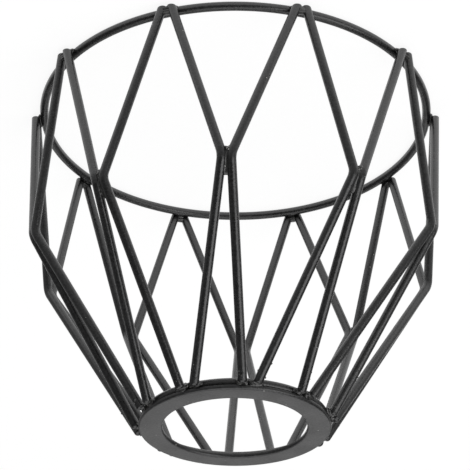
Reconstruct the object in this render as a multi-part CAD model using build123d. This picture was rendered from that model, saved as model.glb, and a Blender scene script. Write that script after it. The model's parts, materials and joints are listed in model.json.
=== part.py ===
"""Wire cage lampshade of welded iron: a flat fitter washer, a neck ring, a rim ring and bent rods in pairs.

The frame is the shade as it hangs: +Z up, the origin at the centre of the fitter hole, in the washer's top face.
Heights below that face are written as drops. Angles run anticlockwise seen from above, from +X.
"""

import math
import os

from build123d import *

# Driving dimensions, in millimetres and degrees
shade_h = 108.0  # from the washer's top face to the underside of the rim ring
fitter_hole_d = 42.0  # hole that the lamp holder goes through
washer_d = 56.0
washer_t = 1.2
rod_d = 2.7  # over the paint, as all wires
rim_wire_d = 2.7
neck_wire_d = 2.7
wire_sides = 12  # flats that make up the round of the rings' wire
neck_inset = 0.5  # how far the neck ring lies inside the washer's edge
rim_d = 121.0  # rim ring, on the centre line of its wire
knuckle_overhang = 1.5  # how far the rods' corners, where neighbouring pairs meet, stand outside the rim
knuckle_drop = 55.5
bend_radius = 5.0  # bend at the corner, on the rod's centre line
pair_count = 10
neck_pair_gap = 1.3  # clear space between the two rods of a pair at the neck ring
neck_twist = 9.4  # how far the pairs on the neck ring are turned past those on the rim
knuckle_twist = 1.9
rim_tail = 0.3  # length of rod past its seat on the rim ring
neck_cutback = 0.4  # length of rod cut off short of its seat on the neck ring, clear of the washer
weld_gap = 0.05  # joint between pieces that the welds hold together

# Sizes that follow from them
rod_r = rod_d / 2
side_gap = rod_r + weld_gap / 2
pitch = 360 / pair_count
rim_r = rim_d / 2
rim_drop = shade_h - rim_wire_d / 2
rim_reach = (rim_wire_d + rod_d) / 2 + weld_gap
knuckle_r = rim_r + knuckle_overhang
neck_r = (washer_d - neck_wire_d) / 2 - neck_inset
neck_drop = washer_t + weld_gap + neck_wire_d / 2
neck_reach = (neck_wire_d + rod_d) / 2 + weld_gap


def polar(radius, angle, drop):
    """A point at this radius and angle, this far below the washer's top face."""
    turn = math.radians(angle)
    return Vector(radius * math.cos(turn), radius * math.sin(turn), -drop)


def ring_seat(ring_r, ring_drop, angle, corner, reach):
    """Where the centre line of a rod that comes straight from its corner lies against the outside of a ring.

    In the ring's radial plane this is the outer tangent point from the corner to a circle round the ring's wire,
    as large as the two wires' radii together.
    """
    radial = polar(1, angle, 0)
    centre = polar(ring_r, angle, ring_drop)
    across = (corner - centre).dot(radial)
    rise = corner.Z - centre.Z
    distance = math.hypot(across, rise)
    lean = math.atan2(rise, across) - math.copysign(math.acos(reach / distance), rise)
    return centre + radial * (reach * math.cos(lean)) + Vector(0, 0, reach * math.sin(lean))


def rim_seat(corner, side):
    """A rod's seat on the rim ring. The pair leans together there, so far that the two tips just meet."""
    outside = rim_r + rim_reach
    leg = (corner - polar(outside, 0, rim_drop)).length
    tip_offset = side * side_gap
    offset = tip_offset + (corner.Y - tip_offset) * rim_tail / (leg + rim_tail)
    angle = math.degrees(math.asin(offset / outside))
    return ring_seat(rim_r, rim_drop, angle, corner, rim_reach)


def neck_seat(corner, side):
    """A rod's seat on the neck ring, half the pair's gap to its side of the pair's middle."""
    offset = side * (rod_d + neck_pair_gap) / 2
    angle = neck_twist + math.degrees(math.asin(offset / (neck_r + neck_reach)))
    return ring_seat(neck_r, neck_drop, angle, corner, neck_reach)


def legs_of(corner, side):
    """The directions in which a rod leaves its corner, down to the rim and up to the neck."""
    down = (rim_seat(corner, side) - corner).normalized()
    up = (neck_seat(corner, side) - corner).normalized()
    return down, up


def bend_facet(down, up):
    """How far from the corner the bend's short facet starts, between two mitres and tangent to the bend's arc."""
    turn = math.radians(180 - down.get_angle(up))
    return bend_radius * (math.tan(turn / 2) - math.tan(turn / 4))


def bent_rod(side):
    """One rod of the first pair, round wire with one bend; side is +1 for the right one, seen from outside.

    Its corner is set beside the knuckle's middle plane so that the bend meets the neighbouring pair's rod.
    """
    knuckle_angle = knuckle_twist + side * pitch / 2
    towards_pair = polar(1, knuckle_angle - side * 90, 0)
    corner = polar(knuckle_r, knuckle_angle, knuckle_drop) + towards_pair * side_gap
    down, up = legs_of(corner, side)
    bend_inset = bend_facet(down, up) * min(down.dot(towards_pair), up.dot(towards_pair))
    corner = corner - towards_pair * bend_inset
    down, up = legs_of(corner, side)
    facet = bend_facet(down, up)
    tip = rim_seat(corner, side) + down * rim_tail
    neck_end = neck_seat(corner, side) - up * neck_cutback
    path = Polyline(tip, corner + down * facet, corner + up * facet, neck_end)
    section = Plane(origin=path @ 0, z_dir=path % 0) * Circle(rod_r)
    return sweep(section, path=path, transition=Transition.RIGHT)


def wire_ring(ring_r, wire_d, ring_drop):
    """A ring of wire, its centre line at this radius and drop, its section a polygon on the wire's round."""
    section = Plane.XZ * Pos(ring_r, -ring_drop) * RegularPolygon(wire_d / 2, wire_sides)
    return revolve(section, Axis.Z)


def fitter_washer():
    """The flat blanked washer that hangs on the lamp holder."""
    outline = Circle(washer_d / 2) - Circle(fitter_hole_d / 2)
    return extrude(outline, amount=-washer_t)


pieces = {
    "fitter_washer": fitter_washer(),
    "neck_ring": wire_ring(neck_r, neck_wire_d, neck_drop),
    "rim_ring": wire_ring(rim_r, rim_wire_d, rim_drop),
}
for side, side_name in ((-1, "left"), (1, "right")):
    rod = bent_rod(side)
    for pair in range(pair_count):
        pieces[f"rod_{pair + 1:02d}_{side_name}"] = Rot(0, 0, pair * pitch) * rod

os.makedirs("parts", exist_ok=True)
for name, piece in pieces.items():
    export_step(piece, f"parts/{name}.step")
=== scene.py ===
"""The looks of a wire cage lampshade of black painted iron, in the order in which it is put together."""

import json

import bpy
import numpy as np
from mathutils import Matrix, Vector


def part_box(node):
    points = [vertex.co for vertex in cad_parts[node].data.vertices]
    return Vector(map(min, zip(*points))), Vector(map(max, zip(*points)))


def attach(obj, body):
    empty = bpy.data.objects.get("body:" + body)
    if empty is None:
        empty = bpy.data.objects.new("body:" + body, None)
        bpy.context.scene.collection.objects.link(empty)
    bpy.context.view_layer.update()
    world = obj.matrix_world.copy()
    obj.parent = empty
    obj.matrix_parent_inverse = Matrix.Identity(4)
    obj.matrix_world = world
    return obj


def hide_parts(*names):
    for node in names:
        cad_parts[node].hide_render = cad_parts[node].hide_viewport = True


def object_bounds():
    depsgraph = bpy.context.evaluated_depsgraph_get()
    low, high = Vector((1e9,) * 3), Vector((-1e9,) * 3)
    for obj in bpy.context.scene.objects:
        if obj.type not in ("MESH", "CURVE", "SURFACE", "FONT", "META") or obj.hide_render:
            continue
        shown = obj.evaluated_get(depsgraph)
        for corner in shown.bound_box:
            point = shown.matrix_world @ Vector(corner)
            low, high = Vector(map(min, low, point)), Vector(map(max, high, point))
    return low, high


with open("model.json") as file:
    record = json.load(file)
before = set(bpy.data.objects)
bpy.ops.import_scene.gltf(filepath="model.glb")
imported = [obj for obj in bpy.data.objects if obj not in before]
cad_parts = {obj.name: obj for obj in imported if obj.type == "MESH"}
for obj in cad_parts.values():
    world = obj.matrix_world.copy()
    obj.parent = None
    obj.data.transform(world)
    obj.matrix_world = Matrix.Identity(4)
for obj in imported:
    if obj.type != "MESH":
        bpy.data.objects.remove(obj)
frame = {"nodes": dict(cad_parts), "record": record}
cad_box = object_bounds()


# Rim ring
# A hoop of drawn iron wire round the shade's open mouth, rolled to a circle and butt-welded shut.
# The shade stands on it. The whole shade is painted after welding, so the paint is made here too.

MM = 0.001  # a millimetre in the scene's metres
HOOP_WIRE_SIDES = 36
RIM_STEPS = 360


def linear(hex_colour):
    """An sRGB hex colour as linear red, green and blue, with full alpha."""
    srgb = np.array([int(hex_colour[place:place + 2], 16) for place in (1, 3, 5)]) / 255
    rgb = np.where(srgb <= 0.04045, srgb / 12.92, ((srgb + 0.055) / 1.055) ** 2.4)
    return (*rgb.tolist(), 1.0)


def add_node(tree, kind, inputs, **settings):
    """Adds a node with its settings; each named input gets a value or a link from another node's output."""
    node = tree.nodes.new(kind)
    for name, value in settings.items():
        setattr(node, name, value)
    for name, value in inputs.items():
        if isinstance(value, bpy.types.NodeSocket):
            tree.links.new(value, node.inputs[name])
        else:
            node.inputs[name].default_value = value
    return node


def satin_black_paint(name, colour, thin_colour, roughness, speck_spacing):
    """Sprayed and stoved satin black paint on iron: nearly black, with a broad soft shine.

    The eye sees a faint orange peel that breaks up the shine, with thinner and greyer paint on its crests,
    patches that are a little more matt than others, and a few pale specks: partly dust caught in the wet
    paint, partly painted glints that stand in for sparkles of light off the paint.
    """
    # pale specks, partly dust and partly painted glints of light
    speck_and_glint_colour = "#c4c4c0"
    speck_radius = 0.16 * MM
    patch_size = 9 * MM
    patch_low, patch_high = 0.3, 0.7  # most of the patches' noise lies between these
    patch_roughness = 0.05  # most that a patch adds or takes away
    peel_size = 0.6 * MM
    peel_height = 0.06 * MM
    crest_low, crest_high = 0.35, 0.65  # the peel's noise where its crests start and where they are full
    grit_size = 0.25 * MM  # real grit is about half as wide and wouldn't show
    grit_height = peel_height / 3
    paint_ior = 1.74  # above the 1.5 of plain paint, matched to the strong shine of the real shade
    material = bpy.data.materials.new(name)
    material.use_nodes = True
    tree = material.node_tree
    tree.nodes.clear()
    place = add_node(tree, "ShaderNodeTexCoord", {}).outputs["Object"]
    patches = add_node(tree, "ShaderNodeTexNoise", {"Vector": place, "Scale": 1 / patch_size, "Detail": 3.0})
    peel = add_node(tree, "ShaderNodeTexNoise", {"Vector": place, "Scale": 1 / peel_size, "Detail": 2.0})
    grit = add_node(tree, "ShaderNodeTexNoise", {"Vector": place, "Scale": 1 / grit_size, "Detail": 0.0})
    specks = add_node(tree, "ShaderNodeTexVoronoi", {"Vector": place, "Scale": 1 / speck_spacing})
    crest = add_node(
        tree,
        "ShaderNodeMapRange",
        {"Value": peel.outputs["Fac"], "From Min": crest_low, "From Max": crest_high},
    )
    is_speck = add_node(
        tree,
        "ShaderNodeMath",
        {0: specks.outputs["Distance"], 1: speck_radius / speck_spacing},
        operation="LESS_THAN",
    )
    ground = add_node(
        tree,
        "ShaderNodeMix",
        {0: crest.outputs["Result"], 6: linear(colour), 7: linear(thin_colour)},
        data_type="RGBA",
    )
    speckled = add_node(
        tree,
        "ShaderNodeMix",
        {0: is_speck.outputs[0], 6: ground.outputs[2], 7: linear(speck_and_glint_colour)},
        data_type="RGBA",
    )
    shine = add_node(
        tree,
        "ShaderNodeMapRange",
        {
            "Value": patches.outputs["Fac"],
            "From Min": patch_low,
            "From Max": patch_high,
            "To Min": roughness - patch_roughness,
            "To Max": roughness + patch_roughness,
        },
    )
    peel_bump = add_node(tree, "ShaderNodeBump", {"Height": peel.outputs["Fac"], "Distance": peel_height})
    bump = add_node(
        tree,
        "ShaderNodeBump",
        {"Height": grit.outputs["Fac"], "Distance": grit_height, "Normal": peel_bump.outputs["Normal"]},
    )
    coat = add_node(
        tree,
        "ShaderNodeBsdfPrincipled",
        {
            "Base Color": speckled.outputs[2],
            "Roughness": shine.outputs["Result"],
            "Normal": bump.outputs["Normal"],
            "IOR": paint_ior,
        },
    )
    add_node(tree, "ShaderNodeOutputMaterial", {"Surface": coat.outputs["BSDF"]})
    return material


def painted_piece(name, grids, material, ends_joined=False):
    """A painted piece over grids of points, of shape (shapes, rings, points round a ring, xyz).

    Each shape has quads between its neighbouring rings. Its last ring is joined to its first, or else each
    end is closed by one flat face.
    """
    shapes, rings, points = grids.shape[:3]
    index = np.arange(shapes * rings * points).reshape(shapes, rings, points)
    here = index if ends_joined else index[:, :-1]
    ahead = np.roll(index, -1, axis=1) if ends_joined else index[:, 1:]
    quads = np.stack([here, np.roll(here, -1, axis=2), np.roll(ahead, -1, axis=2), ahead], axis=-1)
    faces = quads.reshape(-1, 4).tolist()
    if not ends_joined:
        faces += index[:, 0, ::-1].tolist() + index[:, -1].tolist()
    mesh = bpy.data.meshes.new(name)
    mesh.from_pydata(grids.reshape(-1, 3).tolist(), [], faces)
    mesh.polygons.foreach_set("use_smooth", np.ones(len(mesh.polygons), dtype=bool))
    mesh.materials.append(material)
    piece = bpy.data.objects.new(name, mesh)
    bpy.context.scene.collection.objects.link(piece)
    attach(piece, "root")
    return piece


def round_steps(count):
    """Angles of equal steps once round, in radians."""
    return np.linspace(0, 2 * np.pi, count, endpoint=False)


def ring_sizes(node):
    """A ring's radius on its wire's centre line, its wire's radius and its height, read off its solid."""
    low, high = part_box(node)
    wire_radius = (high.z - low.z) / 2
    return (high.x - low.x) / 2 - wire_radius, wire_radius, (high.z + low.z) / 2


def wire_hoop(node, steps):
    """Points on a torus in place of a ring of wire.

    A point lies at the ring's radius plus the wire's radius times the cosine of an angle round the wire, and
    at the ring's height plus the wire's radius times that angle's sine. The ring's own angle turns it
    about Z.
    """
    ring_radius, wire_radius, height = ring_sizes(node)
    turn = -round_steps(steps)[:, None]
    roll = round_steps(HOOP_WIRE_SIDES)[None, :]
    radius = ring_radius + wire_radius * np.cos(roll)
    level = np.broadcast_to(height + wire_radius * np.sin(roll), (steps, HOOP_WIRE_SIDES))
    return np.stack([radius * np.cos(turn), radius * np.sin(turn), level], axis=-1)[None]


paint = satin_black_paint(
    "satin_black_stoving_paint", "#040404", "#29292a", roughness=0.29, speck_spacing=4 * MM
)
rim_ring = painted_piece("rim_ring_wire", wire_hoop("rim_ring", RIM_STEPS), paint, ends_joined=True)
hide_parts("rim_ring")


# Neck ring
# A smaller hoop of the same iron wire, rolled and welded shut in the same way, under the fitter washer.
# It carries the upper ends of the rods, which lie against its outside.

NECK_STEPS = 240
neck_ring = painted_piece("neck_ring_wire", wire_hoop("neck_ring", NECK_STEPS), paint, ends_joined=True)
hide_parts("neck_ring")


# Bent rods
# Twenty lengths of straight iron wire, each with one bend, in ten pairs. A pair starts side by side on the
# rim ring, parts, bends beside its neighbours at the knuckles and comes together again on the neck ring.

TIP_ROUND = 0.35 * MM  # edge of a cut tip under its paint
NECK_END_ROUND = 0.9 * MM  # the welds melt the upper ends round
ROD_SIDES = 32
END_STEPS = 7  # points on the quarter round of an end
BEND_STEPS = 25
LEG_STEPS = 24  # points on each straight leg, with both its ends


def unit(vectors):
    """Vectors along the last axis, made one long."""
    return vectors / np.linalg.norm(vectors, axis=-1, keepdims=True)


def rod_stations(node):
    """The centres of the four rings of points along a rod's solid, and the rod's radius.

    The rings are its tip, both ends of its bend and its neck end.
    """
    mesh = frame["nodes"][node].data
    points = np.empty(len(mesh.vertices) * 3, dtype=np.float32)
    mesh.vertices.foreach_get("co", points)
    points = np.unique(points.reshape(-1, 3).round(6), axis=0)
    height = points[:, 2]
    end_reach = 3 * MM  # the slanting ring of points at an end is less high than this
    at_tip = height < height.min() + end_reach
    at_neck = height > height.max() - end_reach
    at_bend = ~at_tip & ~at_neck
    above = height > height[at_bend].mean()
    groups = (at_tip, at_bend & ~above, at_bend & above, at_neck)
    centres = [points[group].mean(axis=0) for group in groups]
    return centres, np.linalg.norm(points[at_tip] - centres[0], axis=-1).mean()


rod_names = sorted(name for name in frame["nodes"] if name.startswith("rod_"))
rod_centres, rod_radii = zip(*(rod_stations(name) for name in rod_names))
tip, bend_start, bend_stop, neck_end = np.moveaxis(np.array(rod_centres), 1, 0)
rod_radius = np.mean(rod_radii)
down = unit(tip - bend_start)
up = unit(neck_end - bend_stop)
half_turn = (np.pi - np.arccos((down * up).sum(axis=-1, keepdims=True))) / 2
facet = np.linalg.norm(bend_stop - bend_start, axis=-1, keepdims=True) / (2 * np.cos(half_turn))
bend_radius = facet / (np.tan(half_turn) - np.tan(half_turn / 2))
corner = bend_start - down * facet
inward = unit(down + up)
onward = unit(up - down)
bend_normal = np.cross(inward, onward)
bend_centre = corner + inward * bend_radius / np.cos(half_turn)
bend_half = bend_radius * half_turn
corner_cut = bend_radius * np.tan(half_turn) - bend_half
lower_length = np.linalg.norm(tip - corner, axis=-1, keepdims=True) - corner_cut
upper_length = np.linalg.norm(neck_end - corner, axis=-1, keepdims=True) - corner_cut


def rod_line(distance):
    """Every rod's centre line and direction, at distances along it from its bend's middle towards the neck.

    On the bend the line is the bend's centre less the inward direction times the cosine of the angle turned,
    plus the onward direction times its sine, and past the ends of the bend it goes straight on.
    """
    turned = np.clip(distance / bend_radius, -half_turn, half_turn)[..., None]
    radius, onto, into = bend_radius[:, None], onward[:, None], inward[:, None]
    along = into * np.sin(turned) + onto * np.cos(turned)
    arc = bend_centre[:, None] + radius * (onto * np.sin(turned) - into * np.cos(turned))
    return arc + along * (distance[..., None] - turned * radius), along


def rounded_end(size):
    """Depths below a rod's end, and the rod's radii there, along the quarter round of its edge."""
    quarter = np.linspace(0, np.pi / 2, END_STEPS)
    return size * (1 - np.cos(quarter)), rod_radius - size * (1 - np.sin(quarter))


def rod_grids():
    """Rings of points round all rods: a circle carried along the centre line, both ends with a quarter round.

    The tips are cut level with the rim: each point there is moved along the rod by its height over the centre
    line, divided by the height that the rod gains in one unit of its length.
    """
    tip_depth, tip_radius = rounded_end(TIP_ROUND)
    neck_depth, neck_radius = rounded_end(NECK_END_ROUND)
    run = np.linspace(0, 1, LEG_STEPS)[1:-1]
    lower_end = tip_depth - lower_length
    bend = bend_half * np.linspace(-1, 1, BEND_STEPS)
    upper_end = upper_length - neck_depth[::-1]
    lower_run = lower_end[:, -1:] + (bend[:, :1] - lower_end[:, -1:]) * run
    upper_run = bend[:, -1:] + (upper_end[:, :1] - bend[:, -1:]) * run
    distance = np.concatenate([lower_end, lower_run, bend, upper_run, upper_end], axis=1)
    line, along = rod_line(distance)
    radius = np.full((distance.shape[1], 1, 1), rod_radius)
    radius[:END_STEPS, 0, 0] = tip_radius
    radius[-END_STEPS:, 0, 0] = neck_radius[::-1]
    across = np.broadcast_to(bend_normal[:, None], along.shape)
    over = np.cross(along, across)
    angle = round_steps(ROD_SIDES)[:, None]
    offset = radius * (across[:, :, None] * np.cos(angle) + over[:, :, None] * np.sin(angle))
    at_tip = slice(0, END_STEPS)
    offset[:, at_tip] -= along[:, at_tip, None] * offset[:, at_tip, :, 2:] / along[:, at_tip, None, 2:]
    return line[:, :, None] + offset


for rod_name, rod_grid in zip(rod_names, rod_grids()):
    rod = painted_piece(f"{rod_name}_wire", rod_grid[None], paint)
    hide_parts(rod_name)


# Knuckle welds
# Arc welds that join two rods of neighbouring pairs at each knuckle, made by hand and painted over. The metal
# fills the groove between the rods, further towards the neck, and leaves a nugget in the crotch on the rim
# side, with dense pale specks on it that are partly slag and partly painted glints of light.

WEB_TOWARDS_RIM = 1.9 * MM
WEB_TOWARDS_NECK = 6.0 * MM
WEB_FILL = 0.6  # thickness of the metal in the groove over that of the rods
WEB_CREASE = 0.3  # share of that thickness which is missing along the middle
WEB_UNEVENNESS = 0.2
WEB_STEPS = 30
CREASE_WIDTH = 0.22  # over half the distance between the rods
NUGGET_PLACE = 1.3 * MM  # towards the rim from the middle of the bends
NUGGET_SIZES = np.array([1.25, 0.95, 0.6]) * MM  # half sizes across, along and out of the groove
NUGGET_SHIFT = 0.45 * MM  # towards the right rod of the lower-numbered pair
NUGGET_WANDER = 0.5 * MM  # by hand, either way
NUGGET_LIFT = 0.35  # out of the groove, over the rods' radius
NUGGET_UNEVENNESS = 0.55
GROOVE_STEP = 0.1 * MM  # either way from the nugget, to find the groove's direction
# Lighter than the rods' paint: partly thin paint over weld metal, partly painted sheen for the light that the
# lumpy beads catch.
weld_paint = satin_black_paint(
    "stoving_paint_over_weld_metal", "#141414", "#424241", roughness=0.28, speck_spacing=1.4 * MM
)
# dense pale specks on the nuggets: partly slag, partly painted glints of light
slag_and_glint_paint = satin_black_paint(
    "stoving_paint_over_weld_slag_and_painted_glints", "#141414", "#424241", roughness=0.28, speck_spacing=0.6 * MM
)
weld_random = np.random.default_rng(17)


def weld_webs(first, second, fill, crease, unevenness):
    """Weld metal in the groove between rods that run side by side, given by points on their centre lines.

    A section is an oval from one centre line to the other, with a crease along its middle that is a bell
    curve's dip. It is as thick as a share of the rod, rippled by the mean of a few sine waves along it, and
    thins out at both ends as a superellipse does.
    """
    sides = 40
    wave_count = 3
    wave_range = (3, 11)  # radians over half the web's length
    place = np.linspace(-0.99, 0.99, first.shape[1])  # short of the ends, which flat faces close
    wave = weld_random.uniform(*wave_range, (len(first), 1, wave_count))
    phase = weld_random.uniform(0, 2 * np.pi, (len(first), 1, wave_count))
    waves = np.sin(place[None, :, None] * wave + phase).mean(axis=-1, keepdims=True)
    thickness = rod_radius * fill * (1 + unevenness * waves) * np.sqrt(1 - place**4)[None, :, None]
    across = (second - first) / 2
    along = np.gradient(first + second, axis=1)
    out = unit(np.cross(along, across)) * thickness
    angle = round_steps(sides)[:, None]
    dip = 1 - crease * np.exp(-((np.cos(angle) / CREASE_WIDTH) ** 2))
    middle = (first + second)[:, :, None] / 2
    return middle + across[:, :, None] * np.cos(angle) + out[:, :, None] * np.sin(angle) * dip


def weld_beads(centres, axes, half_sizes, unevenness):
    """Lumpy balls of weld metal, one at each centre.

    Each is a unit sphere, pushed in and out by the mean of a few sine waves that cross it in random
    directions, and stretched by its half sizes along its three axes.
    """
    sides, rings = 20, 12
    wave_count = 5
    wave_spread = 2.5  # radians over the sphere's radius
    level = np.sin(np.pi * np.linspace(-0.48, 0.48, rings))[:, None]  # short of the poles, as with the webs
    turn = round_steps(sides)[None]
    ring = np.sqrt(1 - level**2)
    ball = np.stack([ring * np.cos(turn), ring * np.sin(turn), level + 0 * turn], axis=-1)
    wave = weld_random.normal(0, wave_spread, (len(centres), wave_count, 3))
    phase = weld_random.uniform(0, 2 * np.pi, (len(centres), 1, 1, wave_count))
    waves = np.sin(np.einsum("rpx,bwx->brpw", ball, wave) + phase)
    pushed = ball * (1 + unevenness * waves.mean(axis=-1, keepdims=True))
    return centres[:, None, None] + np.einsum("brpx,bxy->brpy", pushed * half_sizes, axes)


def knuckle_lines(distance):
    """Points along the two rods of each knuckle: a pair's right rod and the next pair's left rod."""
    line, _ = rod_line(np.broadcast_to(distance, (len(rod_names), len(distance))))
    return line[1::2], np.roll(line[0::2], -1, axis=0)


web_right, web_left = knuckle_lines(np.linspace(-WEB_TOWARDS_RIM, WEB_TOWARDS_NECK, WEB_STEPS))
web_grids = weld_webs(web_right, web_left, WEB_FILL, WEB_CREASE, WEB_UNEVENNESS)
knuckle_webs = painted_piece("knuckle_weld_webs", web_grids, weld_paint)

groove_right, groove_left = knuckle_lines(np.array([-GROOVE_STEP, GROOVE_STEP]) - NUGGET_PLACE)
groove_middle = (groove_right + groove_left).mean(axis=1) / 2
groove_across = unit((groove_left - groove_right).mean(axis=1))
groove_up = unit(np.diff(groove_right + groove_left, axis=1)[:, 0])
groove_out = np.cross(groove_across, groove_up)
nugget_shift = weld_random.uniform(-NUGGET_WANDER, NUGGET_WANDER, (len(groove_middle), 1)) - NUGGET_SHIFT
nugget_centres = groove_middle + groove_across * nugget_shift + groove_out * rod_radius * NUGGET_LIFT
nugget_axes = np.stack([groove_across, groove_up, groove_out], axis=1)
nugget_grids = weld_beads(nugget_centres, nugget_axes, NUGGET_SIZES, NUGGET_UNEVENNESS)
nuggets = painted_piece("knuckle_weld_nuggets", nugget_grids, slag_and_glint_paint)


# Rim welds
# Each rod's tip is welded to the outside of the rim ring. A low saddle of metal lies between the wires, and
# where the two tips of a pair meet, a short web of metal joins them.

TIP_WEB_START = 0.1 * MM  # from the end of the tip
TIP_WEB_STOP = 2.6 * MM
TIP_WEB_FILL = 0.85
TIP_WEB_CREASE = 0.0
TIP_WEB_UNEVENNESS = 0.3
TIP_WEB_STEPS = 14
RIM_SADDLE_SIZES = np.array([1.9, 0.9, 0.8]) * MM  # half sizes along the ring, across it, between the wires
RIM_SADDLE_UNEVENNESS = 0.25


def saddle_places(node, rod_ends):
    """Centres and axes of the saddles between a ring and the rods' ends that lie against it.

    A centre is midway between a rod's end and the nearest point of the ring's centre line. The axes run along
    the ring, across it and from the ring to the rod.
    """
    ring_radius, _, height = ring_sizes(node)
    turn = np.arctan2(rod_ends[:, 1], rod_ends[:, 0])
    level = np.zeros_like(turn)
    ring_line = np.stack([ring_radius * np.cos(turn), ring_radius * np.sin(turn), level + height], axis=-1)
    lift = unit(rod_ends - ring_line)
    along_ring = np.stack([-np.sin(turn), np.cos(turn), level], axis=-1)
    axes = np.stack([along_ring, np.cross(lift, along_ring), lift], axis=1)
    return (ring_line + rod_ends) / 2, axes


tip_line, _ = rod_line(np.linspace(TIP_WEB_START, TIP_WEB_STOP, TIP_WEB_STEPS) - lower_length)
tip_web_grids = weld_webs(
    tip_line[0::2], tip_line[1::2], TIP_WEB_FILL, TIP_WEB_CREASE, TIP_WEB_UNEVENNESS
)
tip_webs = painted_piece("rim_weld_webs", tip_web_grids, weld_paint)
rim_centres, rim_axes = saddle_places("rim_ring", tip)
rim_saddle_grids = weld_beads(rim_centres, rim_axes, RIM_SADDLE_SIZES, RIM_SADDLE_UNEVENNESS)
rim_saddles = painted_piece("rim_weld_saddles", rim_saddle_grids, weld_paint)


# Neck welds
# The rods' upper ends are welded to the neck ring one after the other, in a narrow space, so these beads are
# the lumpiest: a saddle between the wires, a bead on each cut end, and drops that spattered on the outside of
# the rods near by.

NECK_SADDLE_SIZES = np.array([1.9, 1.3, 1.0]) * MM
END_BEAD_SIZES = np.array([1.6, 0.8, 0.95]) * MM
END_BEAD_DEPTH = 0.45 * MM  # from the rod's cut end down to the bead's middle
END_BEAD_INSET = 0.4  # towards the ring, over the rod's radius
NECK_UNEVENNESS = 0.6
SPATTER_COUNT = 70
SPATTER_SIZES = (0.14 * MM, 0.38 * MM)
SPATTER_REACH = 18 * MM  # along a rod from its cut end
SPATTER_NEAREST = 0.1  # share of that reach which stays free
SPATTER_CROWDING = 1.5  # power that brings the drops nearer to the end
SPATTER_UNEVENNESS = 0.3

neck_centres, neck_axes = saddle_places("neck_ring", neck_end)
neck_saddle_grids = weld_beads(neck_centres, neck_axes, NECK_SADDLE_SIZES, NECK_UNEVENNESS)
neck_saddles = painted_piece("neck_weld_saddles", neck_saddle_grids, weld_paint)
end_centres = neck_end - up * END_BEAD_DEPTH - neck_axes[:, 2] * rod_radius * END_BEAD_INSET
end_bead_grids = weld_beads(end_centres, neck_axes, END_BEAD_SIZES, NECK_UNEVENNESS)
end_beads = painted_piece("neck_weld_end_beads", end_bead_grids, weld_paint)

drop = np.arange(SPATTER_COUNT)
drop_rod = weld_random.integers(0, len(rod_names), SPATTER_COUNT)
drop_reach = SPATTER_REACH * weld_random.uniform(SPATTER_NEAREST, 1, SPATTER_COUNT) ** SPATTER_CROWDING
drop_angle = weld_random.uniform(0, 2 * np.pi, (SPATTER_COUNT, 1))
all_lines, all_directions = rod_line(upper_length - drop_reach)
drop_line, drop_along = all_lines[drop_rod, drop], all_directions[drop_rod, drop]
drop_across = bend_normal[drop_rod]
drop_out = drop_across * np.cos(drop_angle) + np.cross(drop_along, drop_across) * np.sin(drop_angle)
drop_out = drop_out * np.sign((drop_out * drop_line)[:, :2].sum(axis=-1, keepdims=True))
drop_axes = np.stack([np.cross(drop_out, drop_along), drop_out, drop_along], axis=1)
drop_size = weld_random.uniform(*SPATTER_SIZES, (SPATTER_COUNT, 1, 1, 1))
drop_grids = weld_beads(drop_line + drop_out * rod_radius, drop_axes, drop_size, SPATTER_UNEVENNESS)
spatter = painted_piece("neck_weld_spatter", drop_grids, weld_paint)


# Fitter washer
# A flat ring blanked from sheet iron and welded on the neck ring. The lamp holder goes through its hole.
# Blanking rolls its top edges over and the paint rounds them a little more.

TOP_ROUND = 0.7 * MM
UNDER_ROUND = 0.12 * MM
WASHER_STEPS = 240
WASHER_ROUND_STEPS = 10
fitter_hole = next(mount for mount in frame["record"]["mounts"] if mount["name"] == "fitter_hole")
hole_radius = fitter_hole["dims"]["r_mm"] * MM
washer_low, washer_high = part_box("fitter_washer")


def washer_grid():
    """A rounded rectangle turned about Z: four straight sides joined by a quarter round at each corner.

    A corner is given by its radius and height, the way in from it along both, its rounding, and the angle at
    which its quarter round starts.
    """
    inner, outer = hole_radius, washer_high.x
    under, top = washer_low.z, washer_high.z
    corners = (
        (inner, under, 1, 1, UNDER_ROUND, np.pi),
        (outer, under, -1, 1, UNDER_ROUND, 1.5 * np.pi),
        (outer, top, -1, -1, TOP_ROUND, 0.0),
        (inner, top, 1, -1, TOP_ROUND, 0.5 * np.pi),
    )
    bend = np.linspace(0, np.pi / 2, WASHER_ROUND_STEPS)
    radius = np.concatenate([x + r * (inx + np.cos(start + bend)) for x, _, inx, _, r, start in corners])
    level = np.concatenate([z + r * (inz + np.sin(start + bend)) for _, z, _, inz, r, start in corners])
    turn = -round_steps(WASHER_STEPS)[:, None]
    level = np.broadcast_to(level, (WASHER_STEPS, level.size))
    return np.stack([radius * np.cos(turn), radius * np.sin(turn), level], axis=-1)[None]


sheet_paint = satin_black_paint(
    "stoving_paint_on_sheet_iron", "#040404", "#29292a", roughness=0.32, speck_spacing=4 * MM
)
washer = painted_piece("fitter_washer_plate", washer_grid(), sheet_paint, ends_joined=True)
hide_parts("fitter_washer")


# Floor
# White paper on a pale grey table, which the shade stands on with its rim down. The paper lies under and
# behind the shade and fades softly into the table. It stays white to the camera and keeps a faint shadow.

PAPER_COLOUR = "#ffffff"
TABLE_COLOUR = "#a8a8a8"
PAPER_MIDDLE = Vector((-60.0, 170.0, 0.0)) * MM
PAPER_HALF_SIZES = Vector((210.0, 282.0, 1000.0)) * MM  # the height isn't used
PAPER_EDGE = 0.18  # half the width of the soft edge over the half size
SHADOW_SHARE = 0.2  # share of the paper's white that comes from the lamps and so can be shaded
LAMP_LEVEL = 0.5  # light of the lamps and walls on the paper, over what would make it white by itself
FLOOR_HALF = 20.0  # metres, so that its far edge looks like a horizon
floor_level = cad_box[0].z


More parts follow.
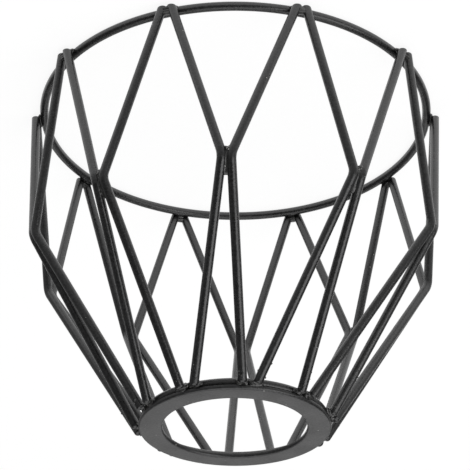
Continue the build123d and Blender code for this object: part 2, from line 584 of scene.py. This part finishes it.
def seen_light(tree):
    """A factor that is 1 for what the camera sees, directly or in a shiny or clear surface, and else 0."""
    path = add_node(tree, "ShaderNodeLightPath", {}).outputs
    seen = path["Is Camera Ray"]
    for other in ("Is Glossy Ray", "Is Transmission Ray"):
        larger = add_node(tree, "ShaderNodeMath", {0: seen, 1: path[other]}, operation="MAXIMUM")
        seen = larger.outputs[0]
    return seen


floor_mesh = bpy.data.meshes.new("paper_and_table")
floor_corners = np.array([[-1, -1], [1, -1], [1, 1], [-1, 1]]) * FLOOR_HALF
floor_points = np.column_stack([floor_corners, np.full(4, floor_level)])
floor_mesh.from_pydata(floor_points.tolist(), [], [[0, 1, 2, 3]])
paper = bpy.data.materials.new("white_paper_on_grey_table")
paper.use_nodes = True
paper_tree = paper.node_tree
paper_tree.nodes.clear()
floor_place = add_node(paper_tree, "ShaderNodeTexCoord", {}).outputs["Object"]
paper_place = add_node(
    paper_tree,
    "ShaderNodeMapping",
    {"Vector": floor_place, "Location": PAPER_MIDDLE, "Scale": PAPER_HALF_SIZES},
    vector_type="TEXTURE",
).outputs["Vector"]
off_middle = add_node(paper_tree, "ShaderNodeVectorMath", {0: paper_place}, operation="ABSOLUTE")
off_sides = add_node(paper_tree, "ShaderNodeSeparateXYZ", {"Vector": off_middle.outputs["Vector"]})
off_edge = add_node(
    paper_tree,
    "ShaderNodeMath",
    {0: off_sides.outputs["X"], 1: off_sides.outputs["Y"]},
    operation="MAXIMUM",
)
on_table = add_node(
    paper_tree,
    "ShaderNodeMapRange",
    {"Value": off_edge.outputs[0], "From Min": 1 - PAPER_EDGE, "From Max": 1 + PAPER_EDGE},
    interpolation_type="SMOOTHSTEP",
)
floor_tone = add_node(
    paper_tree,
    "ShaderNodeMix",
    {0: on_table.outputs["Result"], 6: linear(PAPER_COLOUR), 7: linear(TABLE_COLOUR)},
    data_type="RGBA",
).outputs[2]
lit_floor = add_node(paper_tree, "ShaderNodeBsdfDiffuse", {"Color": floor_tone})
glow_level = (1 - SHADOW_SHARE * LAMP_LEVEL) / (1 - SHADOW_SHARE)  # with the lamps' share it makes 1, white
floor_glow = add_node(paper_tree, "ShaderNodeEmission", {"Color": floor_tone, "Strength": glow_level})
seen_floor = add_node(
    paper_tree,
    "ShaderNodeMixShader",
    {0: SHADOW_SHARE, 1: floor_glow.outputs["Emission"], 2: lit_floor.outputs["BSDF"]},
)
floor_mix = add_node(
    paper_tree,
    "ShaderNodeMixShader",
    {0: seen_light(paper_tree), 1: lit_floor.outputs["BSDF"], 2: seen_floor.outputs["Shader"]},
)
add_node(paper_tree, "ShaderNodeOutputMaterial", {"Surface": floor_mix.outputs["Shader"]})
floor_mesh.materials.append(paper)
floor = bpy.data.objects.new("paper_and_table", floor_mesh)
bpy.context.scene.collection.objects.link(floor)


# Light
# A studio with pale grey walls, a dim ceiling and three soft boxes. One hangs overhead, one stands behind the
# shade and shines on the washer, and one in front, at the picture's right, draws a stripe along each rod.

WALL_LEVEL = 0.33
CEILING_LEVEL = 0.12
WALL_TOP = np.sin(np.radians(5.0))  # height of a direction in which the wall starts to darken
CEILING_EDGE = np.sin(np.radians(28.0))  # and of one that meets the ceiling
world = bpy.data.worlds.new("grey_walled_studio")
world.use_nodes = True
bpy.context.scene.world = world
world_tree = world.node_tree
world_tree.nodes.clear()
direction = add_node(world_tree, "ShaderNodeTexCoord", {}).outputs["Generated"]
rise = add_node(world_tree, "ShaderNodeSeparateXYZ", {"Vector": direction}).outputs["Z"]
level = add_node(
    world_tree,
    "ShaderNodeMapRange",
    {
        "Value": rise,
        "From Min": WALL_TOP,
        "From Max": CEILING_EDGE,
        "To Min": WALL_LEVEL,
        "To Max": CEILING_LEVEL,
    },
    interpolation_type="SMOOTHSTEP",
)
studio = add_node(world_tree, "ShaderNodeBackground", {"Strength": level.outputs["Result"]})
add_node(world_tree, "ShaderNodeOutputWorld", {"Surface": studio.outputs["Background"]})


def soft_box(name, place, aim, width, height, watts):
    """A rectangular soft box at a place, facing the point that it is aimed at, all in metres."""
    lamp = bpy.data.lights.new(name, "AREA")
    lamp.shape = "RECTANGLE"
    lamp.size = width
    lamp.size_y = height
    lamp.energy = watts
    box = bpy.data.objects.new(name, lamp)
    box.location = place
    box.rotation_euler = (Vector(aim) - Vector(place)).to_track_quat("-Z", "Y").to_euler()
    box.visible_camera = False
    bpy.context.scene.collection.objects.link(box)


soft_box("top_soft_box", (0.0, -0.02, 0.65), aim=(0.0, 0.0, -0.05), width=0.8, height=0.8, watts=2.2)
soft_box("back_soft_box", (0.0, 0.7, 0.36), aim=(0.0, 0.0, -0.03), width=0.9, height=0.35, watts=0.75)
soft_box("right_soft_box", (-0.446, -0.401, 0.32), aim=(0.0, 0.0, -0.05), width=0.62, height=0.45, watts=1.5)


# Camera
# Above the washer and in front of the shade, turned upside down as the picture is, so that the washer is at
# its bottom.

EYE = Vector((-3.1, -500.8, 219.9)) * MM
AIM = Vector((0.06, 0.0, -64.75)) * MM
CAMERA_ROLL = np.radians(180.09)
LENS = 143.8  # focal length in millimetres, on a sensor as wide as the next value
SENSOR_WIDTH = 36.0
camera_data = bpy.data.cameras.new("camera")
camera_data.lens = LENS
camera_data.sensor_width = SENSOR_WIDTH
camera_data.sensor_fit = "HORIZONTAL"
camera = bpy.data.objects.new("camera", camera_data)
upright = (AIM - EYE).to_track_quat("-Z", "Y").to_matrix()
rolled = upright @ Matrix.Rotation(CAMERA_ROLL, 3, "Z")
camera.matrix_world = Matrix.Translation(EYE) @ rolled.to_4x4()
bpy.context.scene.collection.objects.link(camera)
bpy.context.scene.camera = camera
bpy.context.scene.view_settings.view_transform = "Standard"
